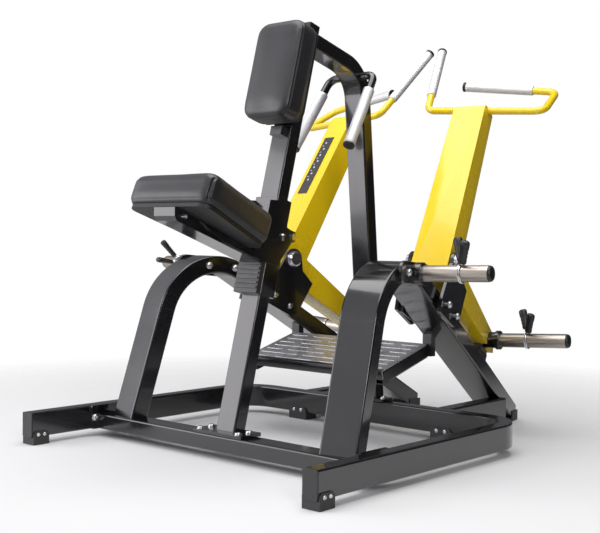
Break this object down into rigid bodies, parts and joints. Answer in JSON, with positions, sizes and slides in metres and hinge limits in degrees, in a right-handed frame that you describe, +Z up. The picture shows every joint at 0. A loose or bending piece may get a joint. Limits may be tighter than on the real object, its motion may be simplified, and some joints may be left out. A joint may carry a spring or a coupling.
{
  "type": "plate-loaded seated row machine",
  "caption": "Plate-loaded seated row with a chest pad, a sliding seat, swinging lever arms, weight horns and a tread footplate on a tubular base.",
  "frame": {"origin": "on the floor under the middle of the machine's overall box", "axes": "+Z up; +Y the way the user faces, towards the footplate and the rear beams; +X to the user's right"},
  "size_m": [1.4258, 1.5923, 1.4121],
  "materials": {
    "frame_paint": "gloss black powder coat",
    "arm_paint": "gloss yellow powder coat",
    "fluted_grip": "satin anodised, fluted",
    "moulded_plastic": "semi-gloss moulded",
    "liner_plastic": "natural nylon",
    "rubber_foot": "matt moulded",
    "horn_steel": "satin nickel plated",
    "bolt_steel": "bright zinc plated",
    "hub_steel": "bright turned",
    "bush_bronze": "sintered bronze",
    "spring_wire": "chromed spring wire with black grips",
    "leatherette": "fine grained satin vinyl",
    "board": "black painted plywood",
    "tread_plate": "raised bar tread",
    "placard": "printed plate with no lettering"
  },
  "bodies": {
    "frame": {"base_rails": "frame_paint", "rail_end_caps": "moulded_plastic", "base_feet": "rubber_foot", "foot_screws": "bolt_steel", "front_crossbar": "frame_paint", "crossbar_bolts": "bolt_steel", "rear_stringers": "frame_paint", "left_side_frame": "frame_paint", "right_side_frame": "frame_paint", "beam_end_feet": "rubber_foot", "storage_horns": "horn_steel", "storage_horn_caps": "moulded_plastic", "horn_bolts": "bolt_steel", "column": "frame_paint", "column_bolts": "bolt_steel", "adjustment_rack": "frame_paint", "rear_post": "frame_paint", "rear_post_bolts": "bolt_steel", "fixed_handle": "frame_paint", "fixed_grips": "fluted_grip", "fixed_grip_caps": "moulded_plastic", "chest_pad": "leatherette", "chest_pad_board": "board", "chest_pad_bracket": "frame_paint", "footplate": "tread_plate", "footplate_frame": "frame_paint", "hinge_brackets": "frame_paint", "bracket_bolts": "bolt_steel", "hinge_shafts": "hub_steel", "arm_stops": "frame_paint", "stop_pads": "rubber_foot"},
    "seat": {"seat_carriage": "frame_paint", "carriage_liner": "liner_plastic", "carriage_cover": "moulded_plastic", "carriage_bolts": "bolt_steel", "seat_board": "board", "seat_pad": "leatherette", "latch_pin": "bolt_steel"},
    "latch": {"seat_latch": "moulded_plastic"},
    "left_arm": {"left_lever_arm": "arm_paint", "left_hinge_bushes": "bush_bronze", "left_handle_bar": "arm_paint", "left_grips": "fluted_grip", "left_grip_caps": "moulded_plastic", "left_arm_horn": "horn_steel", "left_arm_horn_cap": "moulded_plastic", "arm_placard": "placard"},
    "right_arm": {"right_lever_arm": "arm_paint", "right_hinge_bushes": "bush_bronze", "right_handle_bar": "arm_paint", "right_grips": "fluted_grip", "right_grip_caps": "moulded_plastic", "right_arm_horn": "horn_steel", "right_arm_horn_cap": "moulded_plastic"},
    "left_storage_clip": {"left_storage_clip": "spring_wire"},
    "right_storage_clip": {"right_storage_clip": "spring_wire"},
    "left_arm_clip": {"left_arm_clip": "spring_wire"},
    "right_arm_clip": {"right_arm_clip": "spring_wire"}
  },
  "joints": [
    {"name": "seat_height", "type": "slide", "parent": "frame", "child": "seat", "axis": [0, 0.2504, 0.9681], "range_m": [0, 0.2]},
    {"name": "latch_release", "type": "hinge", "parent": "seat", "child": "latch", "pos_m": [0, -0.2502, 0.684], "axis": [1, 0, 0], "range_deg": [-20, 0], "stiffness_Nm_per_rad": 0.6, "springref_deg": 8.59},
    {"name": "left_arm_swing", "type": "hinge", "parent": "frame", "child": "left_arm", "pos_m": [-0.34187, 0.12798, 0.605], "axis": [0.9823, -0.1874, 0], "range_deg": [0, 38]},
    {"name": "right_arm_swing", "type": "hinge", "parent": "frame", "child": "right_arm", "pos_m": [0.34187, 0.12798, 0.605], "axis": [0.9823, 0.1874, 0], "range_deg": [0, 38]},
    {"name": "left_storage_clip_slide", "type": "slide", "parent": "frame", "child": "left_storage_clip", "axis": [-0.982, 0.1873, 0.0244], "range_m": [-0.09, 0.06]},
    {"name": "left_arm_clip_slide", "type": "slide", "parent": "left_arm", "child": "left_arm_clip", "axis": [-0.9814, 0.1872, 0.0436], "range_m": [-0.08, 0.1]},
    {"name": "right_storage_clip_slide", "type": "slide", "parent": "frame", "child": "right_storage_clip", "axis": [0.982, 0.1873, 0.0244], "range_m": [-0.09, 0.06]},
    {"name": "right_arm_clip_slide", "type": "slide", "parent": "right_arm", "child": "right_arm_clip", "axis": [0.9814, 0.1872, 0.0436], "range_m": [-0.08, 0.1]}
  ]
}
